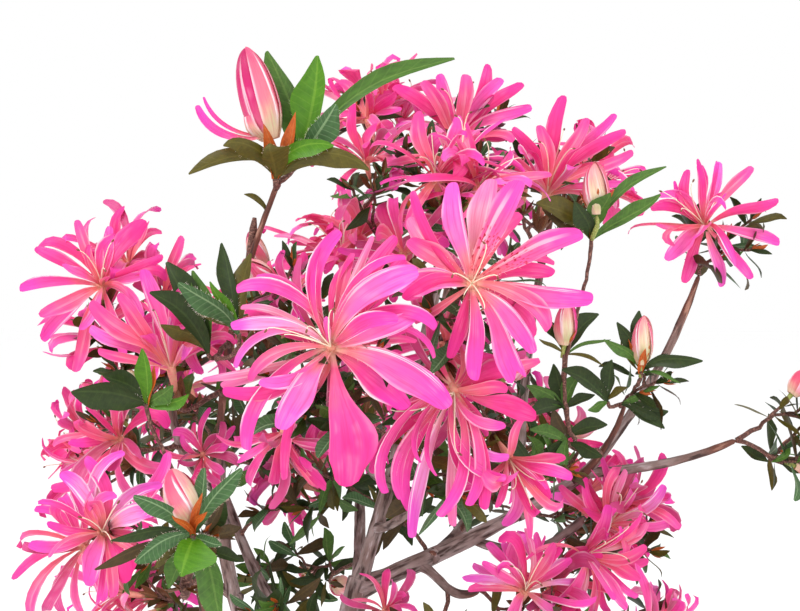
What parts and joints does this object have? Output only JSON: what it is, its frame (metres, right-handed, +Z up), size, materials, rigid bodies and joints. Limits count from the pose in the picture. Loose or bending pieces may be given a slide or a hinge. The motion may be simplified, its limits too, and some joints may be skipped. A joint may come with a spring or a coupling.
{
  "type": "azalea shrub",
  "caption": "Young azalea shrub with a short forked trunk, open boughs, narrow dark leaves and large pink blooms of many strap-shaped petals; rooted, with a flat cut at ground level.",
  "frame": {"origin": "middle of the flat cut under the trunk, at ground level", "axes": "+Z up, -Y towards the viewer of the crown's front, +X to that viewer's right"},
  "size_m": [0.2577, 0.2177, 0.2841],
  "materials": {
    "bark": "thin, flaking grey-brown bark",
    "bloom": "soft pink petals, paler at the throat and white along one edge",
    "leaf": "leathery dark green leaves, hairy along the edge"
  },
  "bodies": {
    "root": {"trunk": "bark", "bough_left": "bark", "bough_middle": "bark", "bough_right": "bark", "bough_right_tip": "bark", "bough_right_riser": "bark", "bough_top_right": "bark", "bough_right_front": "bark", "bough_low_right": "bark", "bough_low_front": "bark", "bough_front_right": "bark", "bough_front_left": "bark", "bough_pendant": "bark", "bough_spray": "bark", "bough_far_left": "bark", "bough_left_back": "bark", "bough_low_left": "bark", "bough_back_left": "bark", "bough_back": "bark", "bough_back_right": "bark", "bough_back_top": "bark", "mass_bud_spray": "bloom", "mass_top_left": "bloom", "mass_top_centre": "bloom", "mass_top_right": "bloom", "mass_far_right": "bloom", "mass_right_tip": "leaf", "mass_front_right": "bloom", "mass_front_left": "bloom", "mass_pendant": "bloom", "mass_behind_top": "bloom", "mass_behind_left": "bloom", "mass_inner_leaves": "leaf", "mass_inner_right": "leaf", "mass_left": "bloom", "mass_left_back": "bloom", "mass_low_left": "bloom", "mass_right_bud_pair": "leaf", "mass_right_buds": "leaf", "mass_right_leaves": "leaf", "mass_low_right": "bloom", "mass_low_front": "bloom", "mass_low_right_foot": "bloom", "mass_low_middle": "leaf", "mass_low_inner": "leaf", "mass_heart": "bloom", "mass_back_upper_left": "bloom", "mass_back_left": "bloom", "mass_back": "bloom", "mass_back_right": "bloom", "mass_back_top": "bloom", "mass_back_top_right": "bloom", "mass_back_low": "leaf", "mass_back_low_left": "bloom", "mass_back_low_right": "bloom"}
  },
  "joints": []
}
